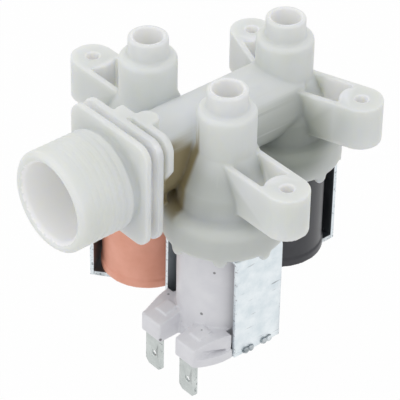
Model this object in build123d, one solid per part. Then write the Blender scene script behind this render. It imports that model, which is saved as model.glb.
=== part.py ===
from build123d import *
import math
import os

# Three-way washing machine inlet valve.
# Frame: the origin is the centre of the inlet mouth, +X points out of the inlet, +Z is up towards the
# outlet nozzles, and +Y is the side of the white coil. Millimetres.

# Inlet spigot: male G3/4, with the thread drawn at its crests
INLET_OD = 26.44
INLET_BORE = 20.4
INLET_LENGTH = 18.5
MOUTH_CHAMFER = 1.0
MOUTH_LEAD = 1.2
UNDERCUT_DEPTH = 1.3
UNDERCUT_LENGTH = 2.6

# Strainer and flow washer pockets inside the spigot
STRAINER_DEPTH = 12.8
STRAINER_FLANGE = 1.5
STRAINER_LEDGE = 1.0
STRAINER_WALL = 0.9
STRAINER_LENGTH = 6.5
STRAINER_TAPER = 1.0
STRAINER_SLOTS = 10
STRAINER_SLOT_WIDTH = 1.4
STRAINER_BAND = 1.4
STRAINER_ROOM = 0.7
WASHER_OD = 15.6
WASHER_HOLE = 6.0
WASHER_THICK = 3.0

# Square flange: two plates grip the cabinet panel between them, and a corner tab stands behind them
FLANGE_SIDE = 29.2
FLANGE_CORNER = 4.2
FLANGE_THICK = 1.8
PANEL_GROOVE = 1.9
REAR_GROOVE = 1.3
FLANGE_HUB_OD = 23.0
GUSSET_THICK = 2.0
GUSSET_SPREAD = 6.6
GUSSET_LENGTH = 4.0
GUSSET_HEIGHT = 20.0
LUG_LEFT = 5.0
LUG_RIGHT = 0.6
LUG_BASE = 8.0
LUG_ROUND = 1.4
REAR_LUG_R = 3.0
REAR_LUG_Y = 3.0
REAR_LUG_SETBACK = 1.0
TAB_SIDE_Z = 5.4
TAB_FOOT_Y = 11.2

# Coil and the steel yoke round it, which set the size of the chamber above and the valve spacing
COIL_OD = 23.4
COIL_LIP = 0.35
COIL_LIP_HEIGHT = 2.2
COIL_GROOVE = 0.3
COIL_GAP = 0.45
YOKE_SHEET = 1.0
YOKE_DEPTH = 15.1
COIL_LIP_OD = COIL_OD + 2 * COIL_LIP
YOKE_WIDTH = COIL_LIP_OD + 2 * COIL_GAP + 2 * YOKE_SHEET
YOKE_SPACING = 1.0
ORANGE_TURN = 38.0

# Manifold pipe along X, and the three valve axes; the side valves stand as close as their yokes allow
MANIFOLD_OD = 20.0
MANIFOLD_BORE = 13.0
SIDE_VALVE_X = -43.3
REAR_VALVE_X = -75.5
ORANGE_ANGLE = math.radians(ORANGE_TURN)
ORANGE_CORNER = YOKE_WIDTH * math.cos(ORANGE_ANGLE) + YOKE_DEPTH * math.sin(ORANGE_ANGLE)
SIDE_VALVE_Y = (YOKE_WIDTH + ORANGE_CORNER) / 4 + YOKE_SPACING / 2
PORT_DIAMETER = 4.4

# Outlet tower above each valve
NOZZLE_OD = 10.3
NOZZLE_BORE = 7.4
NOZZLE_TOP = 22.6
TOWER_OD = 14.8
TOWER_TOP = 17.4
TOWER_BASE = 6.0
NECK_TOP_R = 11.5
NECK_TOP_Z = -3.2
NECK_FOOT_R = 12.0
NECK_FOOT_Z = -9.0
EDGE_ROUND = 0.6
SHOULDER_ROUND = 1.6
NOZZLE_FOOT_ROUND = 0.6

# Diaphragm chamber under each tower
COVER_INSET = 0.3
CHAMBER_WALL = 2.6
LAND_WIDTH = 1.2
COVER_OD = YOKE_WIDTH - 2 * COVER_INSET
CHAMBER_OD = COVER_OD + 2 * CHAMBER_WALL
CHAMBER_TOP = -10.2
CHAMBER_ROUND = 3.0
RIM_Z = -18.4
RIM_ROUND = 1.2
ANNULUS_OD = 20.4
WELL_OD = COVER_OD - 2 * LAND_WIDTH
ANNULUS_TOP = -7.3
SEAT_TUBE_OD = 10.8
SEAT_Z = -11.4
LAND_Z = -11.8
COVER_CLEARANCE = 0.1
RIM_TABS = 8
RIM_TAB_WIDTH = 3.2
RIM_TAB_THICK = 1.3
RIM_TAB_DROP = 1.5

# Screw posts and their channel-shaped arms
POST_OD = 11.4
POST_TOP = 5.5
POST_BOTTOM = -6.3
POST_HOLE = 3.2
POST_HOLE_DEPTH = 9.0
SIDE_ARM_REACH = 22.0
REAR_ARM_REACH = 21.9
REAR_ARM_SWEEP = 20.0
ARM_WALL = 1.6
ARM_FLOOR = 1.8

# Diaphragm and its pilot core
BEAD_HEIGHT = 1.8
BEAD_WIDTH = 1.6
MEMBRANE_THICK = 0.8
HUB_THICK = 1.2
HUB_R = 6.0
CORE_R = 5.0
CORE_THICK = 1.4
CORE_BOSS_R = 2.0
CORE_BOSS_HEIGHT = 1.0
PILOT_HOLE = 1.4
CORE_TRAVEL = 1.8

# Guide tube with its cover flange, closed at the lower end
COVER_BOTTOM = -18.6
TUBE_BORE = 8.8
TUBE_WALL = 1.0
TUBE_END_Z = -47.0
TUBE_END_WALL = 1.0
MEMBRANE_WELL = 0.9
CORE_CHAMBER_R = 6.4
CORE_CHAMBER_Z = -16.6

# Plunger, its rubber tip and its return spring
PLUNGER_CLEARANCE = 0.08
PLUNGER_LENGTH = 20.4
TIP_R = 2.2
TIP_STAND = 0.6
TIP_SOCKET = 2.0
TIP_GAP = 0.05
SPRING_SOCKET_R = 3.1
SPRING_SOCKET = 4.0
SPRING_R = 2.4
SPRING_WIRE_R = 0.35
SPRING_TURNS = 6
SPRING_END_GAP = 0.1

# Steel yoke of bent strip, with a staked closing plate
YOKE_BEND = 1.4
YOKE_BOTTOM = -48.5
YOKE_PLATE_THICK = 1.2
YOKE_PLATE_LIFT = 0.1
STAKE_WIDTH = 3.2
STAKE_SPREAD = 3.0
STAKE_STAND = 0.65
STAKE_LOBE_R = 0.85
STAKE_LOBE_PITCH = 1.6
STAKE_ROUND = 0.35
FIT_GAP = 0.1

# Overmoulded coil with two terminal blocks, and its pole bush
BUSH_WALL = 1.2
BUSH_LENGTH = 9.0
BLADE_RADIUS = 16.6
BLADE_PITCH = 13.1
BLADE_WIDTH = 6.3
BLADE_THICK = 0.8
BLADE_ROOT = 4.0
BLADE_TIP_Z = -59.2
BLADE_HOLE = 1.7
BLADE_HOLE_Z = -54.7
BLADE_NOSE = 1.2
BLOCK_WIDTH = 7.4
BLOCK_REACH = 18.3
BLOCK_BOTTOM = -48.6
BLOCK_TOP = -41.8
BLOCK_SLOPE = 1.4
BLOCK_ROUND = 0.8
SHELF_THICK = 3.2
SHELF_INSET = 1.1
SHELF_FLARE = YOKE_WIDTH / 2 - SHELF_INSET
SHELF_SETBACK = 1.2
PAD_START = 10.8
PAD_END = 14.8
PAD_WIDTH = 3.8
PAD_HEIGHT = 0.5
FOOT_HEIGHT = 2.4
FOOT_INSET = 0.5
FOOT_FLARE = YOKE_WIDTH / 2 - FOOT_INSET
FOOT_SETBACK = 0.6
FOOT_BULGE = 0.9
FOOT_OVERLAP = 0.4

# Each valve: axis, and the turn of its coil about Z. Unturned, the terminals face +X.
VALVES = {
    "orange": ((SIDE_VALVE_X, -SIDE_VALVE_Y), 180 + ORANGE_TURN),
    "white": ((SIDE_VALVE_X, SIDE_VALVE_Y), 0.0),
    "black": ((REAR_VALVE_X, 0.0), -90.0),
}

# Heights that follow from the sizes above
COVER_TOP = LAND_Z - BEAD_HEIGHT
HUB_BOTTOM = SEAT_Z - HUB_THICK
CORE_BOTTOM = HUB_BOTTOM - CORE_THICK
PILOT_Z = CORE_BOTTOM - CORE_BOSS_HEIGHT
TIP_TOP = PILOT_Z - TIP_GAP
PLUNGER_TOP = TIP_TOP - TIP_STAND
PLUNGER_BOTTOM = PLUNGER_TOP - PLUNGER_LENGTH
PLUNGER_R = TUBE_BORE / 2 - PLUNGER_CLEARANCE
TUBE_R = TUBE_BORE / 2 + TUBE_WALL
YOKE_TOP = COVER_BOTTOM
YOKE_PLATE_BOTTOM = YOKE_BOTTOM + YOKE_PLATE_LIFT
YOKE_PLATE_TOP = YOKE_PLATE_BOTTOM + YOKE_PLATE_THICK
COIL_TOP = YOKE_TOP - YOKE_SHEET - FIT_GAP
COIL_BOTTOM = YOKE_PLATE_TOP + FIT_GAP
BUSH_R = TUBE_R + FIT_GAP + BUSH_WALL
LEDGE_X = -STRAINER_DEPTH - STRAINER_FLANGE
STRAINER_END_X = LEDGE_X - STRAINER_LENGTH
WASHER_X = STRAINER_END_X - STRAINER_ROOM
FLANGE_X = -INLET_LENGTH


def turned(outline, rounds=()):
    """Revolve a closed (radius, height) outline about Z; rounds pairs a corner's index with its radius."""
    face = make_face(Polyline(*outline, close=True))
    for index, radius in rounds:
        corner = face.vertices().sort_by_distance(Vector(*outline[index]))[0]
        face = fillet(corner, radius)
    return revolve(Plane.XZ * face, Axis.Z)


def disc(radius, top, bottom):
    """A cylinder on the Z axis between two heights."""
    return Pos(0, 0, (top + bottom) / 2) * Cylinder(radius, top - bottom)


def ring(outer, inner, top, bottom):
    """A tube on the Z axis between two heights."""
    return disc(outer, top, bottom) - disc(inner, top, bottom)


def along_x(radius, front, back):
    """A cylinder on the X axis from x = front back to x = back."""
    return Pos((front + back) / 2, 0, 0) * Rot(0, 90, 0) * Cylinder(radius, front - back)


def flange_plate(front):
    """One square plate of the flange, with rounded corners, behind x = front."""
    outline = Plane.YZ * RectangleRounded(FLANGE_SIDE, FLANGE_SIDE, FLANGE_CORNER)
    return Pos(front, 0, 0) * extrude(outline, -FLANGE_THICK)


def corner_tab(front):
    """Upper corner of a third plate, which runs down into the hub."""
    top = FLANGE_SIDE / 2
    outline = [(-LUG_LEFT, 0), (-LUG_LEFT, top), (top, top), (top, TAB_SIDE_Z), (TAB_FOOT_Y, 0)]
    keep = extrude(Plane.YZ * make_face(Polyline(*outline, close=True)), -FLANGE_THICK)
    return flange_plate(front) & (Pos(front, 0, 0) * keep)


def flange_lugs(front, back):
    """Two lugs on top of the flange: one bridges the rear groove, a round one stands behind it."""
    top = FLANGE_SIDE / 2
    height = top - LUG_BASE
    bridge = Box(front - back, LUG_LEFT + LUG_RIGHT, height)
    bridge = fillet(bridge.edges().filter_by(Axis.Z), LUG_ROUND)
    bridge = Pos((front + back) / 2, (LUG_RIGHT - LUG_LEFT) / 2, LUG_BASE + height / 2) * bridge
    stud = Pos(back - REAR_LUG_SETBACK, REAR_LUG_Y, 0) * disc(REAR_LUG_R, top, LUG_BASE - REAR_LUG_R)
    return bridge + stud


def spigot():
    """Threaded inlet spigot, undercut where the thread runs out, with the flange behind it."""
    crest = INLET_OD / 2
    root = crest - UNDERCUT_DEPTH
    barrel = along_x(crest, 0, UNDERCUT_LENGTH - INLET_LENGTH)
    mouth_edge = barrel.edges().filter_by(GeomType.CIRCLE).sort_by(Axis.X)[-1]
    barrel = chamfer(mouth_edge, MOUTH_CHAMFER)
    pitch_one = FLANGE_THICK + PANEL_GROOVE
    pitch_two = pitch_one + FLANGE_THICK + REAR_GROOVE
    hub_end = FLANGE_X - pitch_two - FLANGE_THICK
    solid = barrel + along_x(root, UNDERCUT_LENGTH - INLET_LENGTH, FLANGE_X)
    solid += along_x(FLANGE_HUB_OD / 2, FLANGE_X, hub_end)
    for setback in (0, pitch_one):
        solid += flange_plate(FLANGE_X - setback)
    solid += corner_tab(FLANGE_X - pitch_two)
    for side in (-1, 1):
        gusset = Box(GUSSET_LENGTH, GUSSET_THICK, GUSSET_HEIGHT)
        solid += Pos(hub_end - GUSSET_LENGTH / 2, side * GUSSET_SPREAD, 0) * gusset
    return solid + flange_lugs(FLANGE_X - pitch_one - FLANGE_THICK, hub_end)


def tower():
    """Nozzle, tower, conical neck and diaphragm chamber of one valve, still solid."""
    rim = CHAMBER_OD / 2
    outline = [
        (0, NOZZLE_TOP),
        (NOZZLE_OD / 2, NOZZLE_TOP),
        (NOZZLE_OD / 2, TOWER_TOP),
        (TOWER_OD / 2, TOWER_TOP),
        (TOWER_OD / 2, TOWER_BASE),
        (NECK_TOP_R, NECK_TOP_Z),
        (NECK_FOOT_R, NECK_FOOT_Z),
        (rim, CHAMBER_TOP),
        (rim, RIM_Z),
        (0, RIM_Z),
    ]
    nozzle_edge, nozzle_foot, tower_edge, neck_foot, shoulder, rim_edge = 1, 2, 3, 6, 7, 8
    rounds = [(nozzle_edge, EDGE_ROUND), (neck_foot, EDGE_ROUND), (nozzle_foot, NOZZLE_FOOT_ROUND)]
    rounds += [(tower_edge, SHOULDER_ROUND), (shoulder, CHAMBER_ROUND), (rim_edge, RIM_ROUND)]
    return turned(outline, rounds)


def rim_tabs(turn):
    """Small lugs that hang from the chamber rim, outside the yoke's legs."""
    middle = CHAMBER_OD / 2 - RIM_TAB_THICK / 2 - COVER_CLEARANCE
    height = RIM_TAB_DROP + RIM_ROUND
    lug = Pos(middle, 0, RIM_Z + RIM_ROUND - height / 2) * Box(RIM_TAB_THICK, RIM_TAB_WIDTH, height)
    lug = fillet(lug.edges().filter_by(Axis.X).group_by(Axis.Z)[0], RIM_TAB_WIDTH / 2 - FIT_GAP)
    return [Rot(0, 0, turn + 360 / RIM_TABS * n) * lug for n in range(RIM_TABS)]


def arm(reach, heading):
    """Channel-shaped arm from a valve axis to a screw post, laid along a heading in degrees."""
    height = POST_TOP - POST_BOTTOM
    middle = (POST_TOP + POST_BOTTOM) / 2
    post = Pos(reach, 0, middle) * Cylinder(POST_OD / 2, height)
    bar = Pos(reach / 2, 0, middle) * Box(reach, POST_OD, height)
    trough = Pos(reach / 2, 0, middle + ARM_FLOOR) * Box(reach, POST_OD - 2 * ARM_WALL, height)
    hole = Pos(reach, 0, POST_TOP - POST_HOLE_DEPTH / 2) * Cylinder(POST_HOLE / 2, POST_HOLE_DEPTH)
    return Rot(0, 0, heading) * ((bar - trough) + post - hole)


def tower_void():
    """Water space inside one tower: outlet bore, ring chamber round the seat, and cover recess."""
    bore = disc(NOZZLE_BORE / 2, NOZZLE_TOP, RIM_Z)
    chamber = ring(ANNULUS_OD / 2, SEAT_TUBE_OD / 2, ANNULUS_TOP, SEAT_Z)
    well = disc(WELL_OD / 2, SEAT_Z, RIM_Z)
    recess = disc(COVER_OD / 2 + COVER_CLEARANCE, LAND_Z, RIM_Z)
    return bore + chamber + well + recess


def valve_body():
    """The one-piece moulded body."""
    solid = spigot() + along_x(MANIFOLD_OD / 2, FLANGE_X, REAR_VALVE_X)
    for side in (-1, 1):
        solid += Pos(SIDE_VALVE_X, side * SIDE_VALVE_Y, 0) * arm(SIDE_ARM_REACH, side * 90)
        solid += Pos(REAR_VALVE_X, 0, 0) * arm(REAR_ARM_REACH, side * (90 + REAR_ARM_SWEEP))
    for (x, y), turn in VALVES.values():
        solid += Pos(x, y, 0) * tower()
        for lug in rim_tabs(turn):
            solid += Pos(x, y, 0) * lug
    port_reach = (ANNULUS_OD + SEAT_TUBE_OD) / 4
    lead = Cone(INLET_BORE / 2, INLET_BORE / 2 + MOUTH_LEAD, MOUTH_LEAD)
    solid -= Pos(-MOUTH_LEAD / 2, 0, 0) * Rot(0, 90, 0) * lead
    solid -= along_x(INLET_BORE / 2, 0, LEDGE_X)
    solid -= along_x(INLET_BORE / 2 - STRAINER_LEDGE, LEDGE_X, WASHER_X)
    solid -= along_x(WASHER_OD / 2, WASHER_X, WASHER_X - WASHER_THICK)
    solid -= along_x(MANIFOLD_BORE / 2, WASHER_X - WASHER_THICK, REAR_VALVE_X + port_reach)
    port = disc(PORT_DIAMETER / 2, 0, ANNULUS_TOP)
    for (x, y), turn in VALVES.values():
        solid -= Pos(x, y, 0) * tower_void()
        inward = (0, -math.copysign(port_reach, y)) if y else (port_reach, 0)
        solid -= Pos(x + inward[0], y + inward[1], 0) * port
    return solid


def inlet_strainer():
    """Slotted plastic basket that drops into the spigot and rests on its ledge."""
    seat_r = INLET_BORE / 2 - COVER_CLEARANCE
    wide = INLET_BORE / 2 - STRAINER_LEDGE - STRAINER_WALL
    narrow = wide - STRAINER_TAPER
    inner = wide - STRAINER_WALL
    outline = [
        (inner, -STRAINER_DEPTH),
        (seat_r, -STRAINER_DEPTH),
        (seat_r, LEDGE_X),
        (wide, LEDGE_X),
        (narrow, STRAINER_END_X),
        (0, STRAINER_END_X),
        (0, STRAINER_END_X + STRAINER_WALL),
        (narrow - STRAINER_WALL, STRAINER_END_X + STRAINER_WALL),
    ]
    basket = turned(outline)
    top = LEDGE_X - STRAINER_BAND
    bottom = STRAINER_END_X + STRAINER_BAND
    slot = Pos(wide / 2, 0, (top + bottom) / 2) * Box(wide + STRAINER_WALL, STRAINER_SLOT_WIDTH, top - bottom)
    for n in range(STRAINER_SLOTS):
        basket -= Rot(0, 0, 360 / STRAINER_SLOTS * n) * slot
    return Rot(0, 90, 0) * basket


def flow_washer():
    """Rubber flow-control washer in its pocket behind the strainer."""
    washer = ring(WASHER_OD / 2 - FIT_GAP, WASHER_HOLE / 2, WASHER_X, WASHER_X - WASHER_THICK)
    return Rot(0, 90, 0) * washer


def diaphragm():
    """Rubber diaphragm: clamped bead, thin rolled membrane and a hub that closes the seat."""
    bead_r = COVER_OD / 2
    fold_r = bead_r - BEAD_WIDTH
    outline = [
        (PILOT_HOLE / 2, SEAT_Z),
        (HUB_R, SEAT_Z),
        (fold_r, LAND_Z),
        (bead_r, LAND_Z),
        (bead_r, COVER_TOP),
        (fold_r, COVER_TOP),
        (fold_r, LAND_Z - MEMBRANE_THICK),
        (HUB_R, HUB_BOTTOM),
        (PILOT_HOLE / 2, HUB_BOTTOM),
    ]
    return turned(outline)


def diaphragm_core():
    """Plastic core under the rubber hub, with the pilot hole that the plunger closes."""
    core = disc(CORE_R, HUB_BOTTOM, CORE_BOTTOM) + disc(CORE_BOSS_R, CORE_BOTTOM, PILOT_Z)
    return core - disc(PILOT_HOLE / 2, HUB_BOTTOM, PILOT_Z)


def guide_tube():
    """Cover flange that closes the chamber, with the plunger's closed tube below it."""
    cover = disc(COVER_OD / 2, COVER_TOP, COVER_BOTTOM) + disc(TUBE_R, COVER_BOTTOM, TUBE_END_Z)
    cover -= disc(COVER_OD / 2 - BEAD_WIDTH, COVER_TOP, COVER_TOP - MEMBRANE_WELL)
    cover -= disc(CORE_CHAMBER_R, COVER_TOP, CORE_CHAMBER_Z)
    return cover - disc(TUBE_BORE / 2, COVER_TOP, TUBE_END_Z + TUBE_END_WALL)


def plunger():
    """Soft-iron plunger with sockets for its tip and its spring."""
    rod = disc(PLUNGER_R, PLUNGER_TOP, PLUNGER_BOTTOM)
    rod -= disc(TIP_R, PLUNGER_TOP, PLUNGER_TOP - TIP_SOCKET)
    return rod - disc(SPRING_SOCKET_R, PLUNGER_BOTTOM + SPRING_SOCKET, PLUNGER_BOTTOM)


def plunger_tip():
    """Rubber tip that seals the pilot hole."""
    return disc(TIP_R - FIT_GAP, TIP_TOP, PLUNGER_TOP - TIP_SOCKET)


def plunger_spring():
    """Return spring between the plunger's socket and the closed end of the tube."""
    top = PLUNGER_BOTTOM + SPRING_SOCKET - SPRING_END_GAP - SPRING_WIRE_R
    bottom = TUBE_END_Z + TUBE_END_WALL + SPRING_END_GAP + SPRING_WIRE_R
    height = top - bottom
    path = Helix(pitch=height / SPRING_TURNS, height=height, radius=SPRING_R)
    section = Plane(origin=path @ 0, z_dir=path % 0) * Circle(SPRING_WIRE_R)
    return Pos(0, 0, bottom) * sweep(section, path, is_frenet=True)


def yoke():
    """U-shaped strip round the coil, open on the terminal side, with notches for the closing plate."""
    height = YOKE_TOP - YOKE_BOTTOM
    outer = Rectangle(YOKE_WIDTH, height)
    outer = fillet(outer.vertices().group_by(Axis.Y)[-1], YOKE_BEND)
    inside = Pos(0, -YOKE_SHEET / 2) * Rectangle(YOKE_WIDTH - 2 * YOKE_SHEET, height - YOKE_SHEET)
    strip = extrude(Plane.YZ * (outer - inside), YOKE_DEPTH / 2, both=True)
    strip = Pos(0, 0, (YOKE_TOP + YOKE_BOTTOM) / 2) * strip
    strip -= disc(TUBE_R + FIT_GAP, YOKE_TOP, YOKE_TOP - YOKE_SHEET)
    notch_top = YOKE_PLATE_TOP + FIT_GAP / 2
    for side in (-1, 1):
        notch = Box(STAKE_WIDTH + FIT_GAP, YOKE_WIDTH, notch_top - YOKE_BOTTOM)
        strip -= Pos(side * STAKE_SPREAD, 0, (notch_top + YOKE_BOTTOM) / 2) * notch
    return strip


def stake_lobe():
    """One round lobe of a staked tab, outside the leg on the +Y side, on the plate's middle."""
    inner = YOKE_WIDTH / 2 + FIT_GAP / 2
    outer = YOKE_WIDTH / 2 + STAKE_STAND
    lobe = Pos(0, (inner + outer) / 2, 0) * Rot(90, 0, 0) * Cylinder(STAKE_LOBE_R, outer - inner)
    rim = lobe.edges().filter_by(GeomType.CIRCLE).sort_by(Axis.Y)[-1]
    return fillet(rim, STAKE_ROUND)


def yoke_plate():
    """Closing plate between the yoke's legs; its tabs pass through the legs and are staked into two lobes."""
    span = YOKE_WIDTH - 2 * YOKE_SHEET - 2 * FIT_GAP
    middle = (YOKE_PLATE_TOP + YOKE_PLATE_BOTTOM) / 2
    plate = Box(YOKE_DEPTH, span, YOKE_PLATE_THICK)
    lobe = stake_lobe()
    for side in (-1, 1):
        plate += Pos(side * STAKE_SPREAD, 0, 0) * Box(STAKE_WIDTH, YOKE_WIDTH + STAKE_STAND, YOKE_PLATE_THICK)
        for half in (-1, 1):
            place = Pos(side * STAKE_SPREAD + half * STAKE_LOBE_PITCH / 2, 0, 0)
            plate += place * lobe
            plate += place * Rot(0, 0, 180) * lobe
    plate = Pos(0, 0, middle) * plate
    return plate - disc(TUBE_R + FIT_GAP, YOKE_PLATE_TOP, YOKE_PLATE_BOTTOM)


def pole_bush():
    """Steel sleeve that carries the flux from the closing plate to the plunger."""
    return ring(BUSH_R, TUBE_R + FIT_GAP, YOKE_PLATE_TOP + BUSH_LENGTH, YOKE_PLATE_TOP)


def terminal_block(side):
    """One terminal block of the coil, with a slot for its blade."""
    outline = [
        (0, BLOCK_TOP),
        (COIL_OD / 2, BLOCK_TOP),
        (BLOCK_REACH, BLOCK_TOP - BLOCK_SLOPE),
        (BLOCK_REACH, BLOCK_BOTTOM),
        (YOKE_DEPTH / 2 + FIT_GAP, BLOCK_BOTTOM),
        (YOKE_DEPTH / 2 + FIT_GAP, COIL_BOTTOM),
        (0, COIL_BOTTOM),
    ]
    face = Plane.XZ * make_face(Polyline(*outline, close=True))
    block = extrude(face, BLOCK_WIDTH / 2, both=True)
    block = fillet(block.edges().group_by(Axis.X)[-1], BLOCK_ROUND)
    slot_top = BLOCK_BOTTOM + BLADE_ROOT
    slot = Box(BLADE_THICK + FIT_GAP, BLADE_WIDTH + FIT_GAP, BLADE_ROOT)
    block -= Pos(BLADE_RADIUS, 0, (slot_top + BLOCK_BOTTOM) / 2) * slot
    return Pos(0, side * BLADE_PITCH / 2, 0) * block


def terminal_shelf(side):
    """Flared web that joins a terminal block to the coil in front of the yoke's leg."""
    front = YOKE_DEPTH / 2 + FIT_GAP
    end = BLOCK_REACH - SHELF_SETBACK
    fall = BLOCK_SLOPE * (end - COIL_OD / 2) / (BLOCK_REACH - COIL_OD / 2)
    profile = [
        (front, BLOCK_TOP),
        (COIL_OD / 2, BLOCK_TOP),
        (end, BLOCK_TOP - fall),
        (end, BLOCK_TOP - SHELF_THICK + fall),
        (front, BLOCK_TOP - SHELF_THICK - fall),
    ]
    outer = (BLADE_PITCH + BLOCK_WIDTH) / 2
    plan = [
        (front, BLADE_PITCH / 2),
        (end, BLADE_PITCH / 2),
        (end, outer - FIT_GAP),
        (front, SHELF_FLARE),
    ]
    web = extrude(Plane.XZ * make_face(Polyline(*profile, close=True)), YOKE_WIDTH, both=True)
    prism = extrude(make_face(Polyline(*plan, close=True)), BLOCK_BOTTOM)
    web = web & prism
    return web if side > 0 else mirror(web, Plane.XZ)


def block_pad(side):
    """Low raised pad on top of a terminal block."""
    fall = BLOCK_SLOPE * (PAD_END - COIL_OD / 2) / (BLOCK_REACH - COIL_OD / 2)
    profile = [
        (PAD_START, BLOCK_TOP + PAD_HEIGHT),
        (COIL_OD / 2, BLOCK_TOP + PAD_HEIGHT),
        (PAD_END, BLOCK_TOP - fall + PAD_HEIGHT),
        (PAD_END, BLOCK_TOP - fall - PAD_HEIGHT),
        (PAD_START, BLOCK_TOP - PAD_HEIGHT),
    ]
    pad = extrude(Plane.XZ * make_face(Polyline(*profile, close=True)), PAD_WIDTH / 2, both=True)
    return Pos(0, side * BLADE_PITCH / 2, 0) * pad


def block_foot(side):
    """Curved wall along the lower edge, from a terminal block round to the yoke's leg."""
    front = YOKE_DEPTH / 2 + FIT_GAP
    end = BLOCK_REACH - FOOT_SETBACK
    outer = (BLADE_PITCH + BLOCK_WIDTH) / 2
    inner = outer - FOOT_OVERLAP
    bulge = ((front + end) / 2, (outer + FOOT_FLARE) / 2 + FOOT_BULGE)
    edges = Polyline((end, outer), (end, inner), (front, inner), (front, FOOT_FLARE))
    edges += ThreePointArc((front, FOOT_FLARE), bulge, (end, outer))
    wall = Pos(0, 0, BLOCK_BOTTOM) * extrude(make_face(edges), FOOT_HEIGHT)
    return wall if side > 0 else mirror(wall, Plane.XZ)


def coil_foot(top):
    """Front of the lip, which hangs past the closing plate to the yoke's lower edge."""
    front = YOKE_DEPTH / 2 + FIT_GAP
    keep = Box(COIL_OD, YOKE_WIDTH, top - BLOCK_BOTTOM)
    keep = Pos(front + COIL_OD / 2, 0, (top + BLOCK_BOTTOM) / 2) * keep
    return disc(COIL_LIP_OD / 2, top, BLOCK_BOTTOM) & keep


def coil():
    """Overmoulded winding: round body, lipped foot, two terminal blocks and a stepped bore."""
    lip_top = COIL_BOTTOM + COIL_LIP_HEIGHT
    winding = disc(COIL_OD / 2, COIL_TOP, COIL_BOTTOM) + disc(COIL_LIP_OD / 2, lip_top, COIL_BOTTOM)
    winding -= ring(COIL_LIP_OD, COIL_OD / 2 - COIL_GROOVE, lip_top + COIL_GROOVE, lip_top)
    winding += coil_foot(COIL_BOTTOM + COIL_GROOVE)
    for side in (-1, 1):
        winding += terminal_shelf(side)
        winding += terminal_block(side)
        winding += block_foot(side)
        winding += block_pad(side)
    winding -= disc(TUBE_R + FIT_GAP, COIL_TOP, COIL_BOTTOM)
    return winding - disc(BUSH_R + FIT_GAP, YOKE_PLATE_TOP + BUSH_LENGTH + FIT_GAP, COIL_BOTTOM)


def terminals():
    """Two flat push-on blades with rounded noses and a locking hole each."""
    top = BLOCK_BOTTOM + BLADE_ROOT - FIT_GAP
    blade = Pos(0, 0, (top + BLADE_TIP_Z) / 2) * Box(BLADE_THICK, BLADE_WIDTH, top - BLADE_TIP_Z)
    blade = chamfer(blade.edges().filter_by(Axis.X).group_by(Axis.Z)[0], BLADE_NOSE)
    blade -= Pos(0, 0, BLADE_HOLE_Z) * Rot(0, 90, 0) * Cylinder(BLADE_HOLE / 2, 2 * BLADE_THICK)
    return Compound([Pos(BLADE_RADIUS, side * BLADE_PITCH / 2, 0) * blade for side in (-1, 1)])


def main():
    nodes = {
        "valve_body": valve_body(),
        "inlet_strainer": inlet_strainer(),
        "flow_washer": flow_washer(),
    }
    makers = [
        diaphragm, diaphragm_core, guide_tube, plunger, plunger_tip, plunger_spring,
        yoke, yoke_plate, pole_bush, coil, terminals,
    ]
    for make in makers:
        piece = make()
        for colour, ((x, y), turn) in VALVES.items():
            nodes[f"{colour}_{make.__name__}"] = Pos(x, y, 0) * Rot(0, 0, turn) * piece
    os.makedirs("parts", exist_ok=True)
    for name, solid in nodes.items():
        export_step(solid, f"parts/{name}.step")


main()
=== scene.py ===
# %% [markdown]
# # Inlet valve of a washing machine, dressed for its picture
# The real part is one milky moulded body with a threaded inlet, a square flange, three outlet
# towers and four screw posts, and three coils in steel yokes hang below it.
# The solids are already packed in one frame, so every piece here is placed by them, in metres.

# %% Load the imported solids
import math

import bmesh
import bpy
from mathutils import Matrix, Vector


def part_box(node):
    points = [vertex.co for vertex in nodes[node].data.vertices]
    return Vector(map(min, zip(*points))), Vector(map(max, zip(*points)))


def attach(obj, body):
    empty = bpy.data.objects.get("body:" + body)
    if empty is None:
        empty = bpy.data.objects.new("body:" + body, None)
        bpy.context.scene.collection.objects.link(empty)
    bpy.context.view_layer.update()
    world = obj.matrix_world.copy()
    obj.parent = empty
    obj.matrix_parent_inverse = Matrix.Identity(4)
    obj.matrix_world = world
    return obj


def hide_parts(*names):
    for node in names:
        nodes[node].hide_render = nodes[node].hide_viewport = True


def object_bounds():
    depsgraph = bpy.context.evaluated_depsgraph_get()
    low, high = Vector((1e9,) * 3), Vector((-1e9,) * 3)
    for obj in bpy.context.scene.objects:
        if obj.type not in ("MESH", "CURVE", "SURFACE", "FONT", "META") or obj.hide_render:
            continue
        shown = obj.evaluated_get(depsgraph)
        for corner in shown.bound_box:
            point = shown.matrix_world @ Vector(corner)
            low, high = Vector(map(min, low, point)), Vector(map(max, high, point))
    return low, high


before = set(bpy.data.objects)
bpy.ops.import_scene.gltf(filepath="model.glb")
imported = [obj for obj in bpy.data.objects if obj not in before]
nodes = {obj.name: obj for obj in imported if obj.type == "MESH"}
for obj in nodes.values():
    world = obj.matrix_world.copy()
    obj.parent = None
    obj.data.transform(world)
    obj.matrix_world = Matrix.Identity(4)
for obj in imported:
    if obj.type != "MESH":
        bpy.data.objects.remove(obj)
scene = bpy.context.scene
cad_low, cad_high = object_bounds()
MM = 0.001
COLOURS = ("orange", "white", "black")
print("solids loaded:", len(nodes), "box in mm:", [round(v / MM, 1) for v in cad_high - cad_low])

# %% [markdown]
# ## Camera
# The picture was taken with a long lens from the front left, a little over a third of a right
# angle above the horizon. The lens, the distance and the small roll were worked out once by
# matching the corners of the body, and a long lens keeps the towers almost parallel.

# %% Place the camera
VIEW_AIM = Vector((-44.4, 4.36, -17.15)) * MM
VIEW_AZIMUTH = math.radians(138.74)
VIEW_ELEVATION = math.radians(36.51)
VIEW_ROLL = math.radians(1.15)
VIEW_DISTANCE = 643.6 * MM
SENSOR_WIDTH = 36.0
LENS = 231.4

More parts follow.
